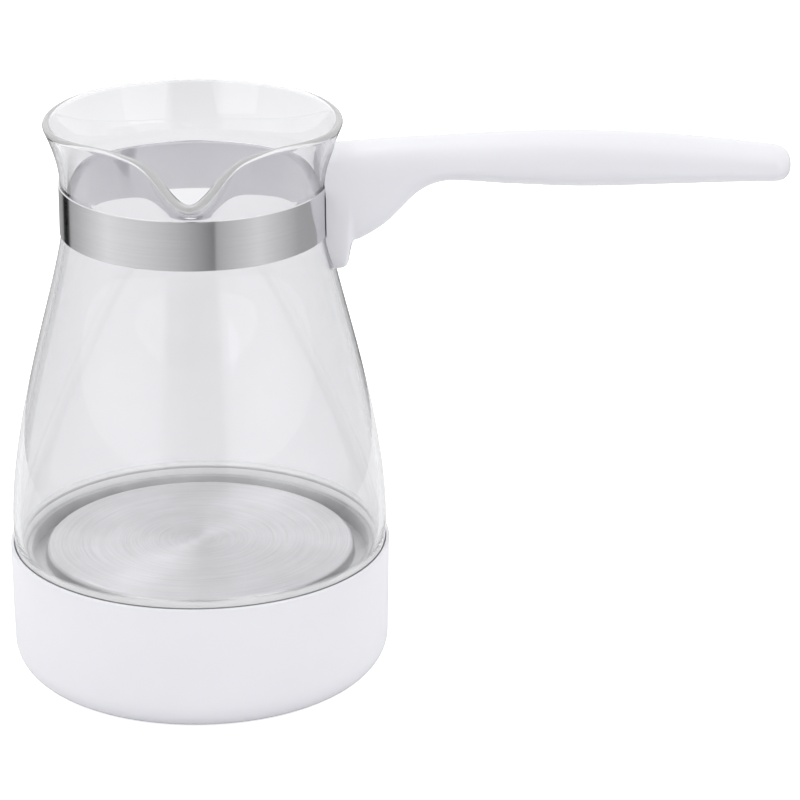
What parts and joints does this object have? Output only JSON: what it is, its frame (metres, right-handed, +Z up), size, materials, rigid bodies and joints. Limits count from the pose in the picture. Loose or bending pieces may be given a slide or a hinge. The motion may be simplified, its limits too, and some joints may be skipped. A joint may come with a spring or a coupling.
{
  "type": "electric coffee pot",
  "caption": "Electric coffee pot: glass jug with a pulled pouring lip, steel neck band, long side handle, heated steel plate and a round cordless socket under a plastic base",
  "frame": {"origin": "centre of the flat ring that the pot rests on", "axes": "+Z up along the jug's axis, +X towards the tip of the handle, -Y towards the pouring lip"},
  "size_m": [0.2229, 0.11, 0.165],
  "materials": {
    "jug_glass": "gloss",
    "white_gloss": "gloss",
    "white_cover": "satin",
    "band_steel": "brushed round the neck",
    "plate_steel": "turned, fine circular lines",
    "seal_rubber": "matte",
    "diffuser_aluminium": "satin",
    "element_sheath": "satin, heat-tinted",
    "ceramic": "matte",
    "zinc_steel": "satin",
    "control_moulding": "matte",
    "contact_brass": "satin",
    "contact_silver": "satin",
    "bimetal": "satin"
  },
  "bodies": {
    "pot": {"arm_terminal_live": "contact_brass", "arm_terminal_neutral": "contact_brass", "base_cover": "white_cover", "base_ring": "white_gloss", "bimetal_disc_live": "bimetal", "bimetal_disc_neutral": "bimetal", "clamp_nuts": "zinc_steel", "clamp_ring": "zinc_steel", "cold_pins": "zinc_steel", "control_body": "control_moulding", "control_screws": "zinc_steel", "cover_screws": "zinc_steel", "earth_ring": "contact_brass", "earth_strap": "contact_brass", "element_end_beads": "ceramic", "element_strap_live": "contact_brass", "element_strap_neutral": "contact_brass", "fixed_contact_live": "contact_silver", "fixed_contact_neutral": "contact_silver", "glass_jug": "jug_glass", "handle": "white_gloss", "handle_screw": "zinc_steel", "heat_diffuser": "diffuser_aluminium", "heating_element": "element_sheath", "heating_plate": "plate_steel", "jug_seal": "seal_rubber", "live_pin": "contact_brass", "neck_band": "band_steel", "neutral_ring": "contact_brass", "plate_studs": "zinc_steel"},
    "arm_live": {"contact_arm_live": "contact_brass", "moving_contact_live": "contact_silver"},
    "pin_live": {"push_pin_live": "ceramic"},
    "arm_neutral": {"contact_arm_neutral": "contact_brass", "moving_contact_neutral": "contact_silver"},
    "pin_neutral": {"push_pin_neutral": "ceramic"}
  },
  "joints": [
    {"name": "arm_hinge_live", "type": "hinge", "parent": "pot", "child": "arm_live", "pos_m": [-0.017, 0.012, 0.0244], "axis": [0, 1, 0], "range_deg": [0, 2.35], "stiffness_Nm_per_rad": 0.1, "springref_deg": -4.58},
    {"name": "pin_slide_live", "type": "slide", "parent": "pot", "child": "pin_live", "axis": [0, 0, -1], "range_m": [0, 0.0007]},
    {"name": "arm_hinge_neutral", "type": "hinge", "parent": "pot", "child": "arm_neutral", "pos_m": [-0.017, -0.012, 0.0244], "axis": [0, 1, 0], "range_deg": [0, 2.35], "stiffness_Nm_per_rad": 0.1, "springref_deg": -4.58},
    {"name": "pin_slide_neutral", "type": "slide", "parent": "pot", "child": "pin_neutral", "axis": [0, 0, -1], "range_m": [0, 0.0007]}
  ],
  "couplings": [
    {"joint": "pin_slide_live", "follows": "arm_hinge_live", "m_per_rad": 0.017},
    {"joint": "pin_slide_neutral", "follows": "arm_hinge_neutral", "m_per_rad": 0.017}
  ]
}
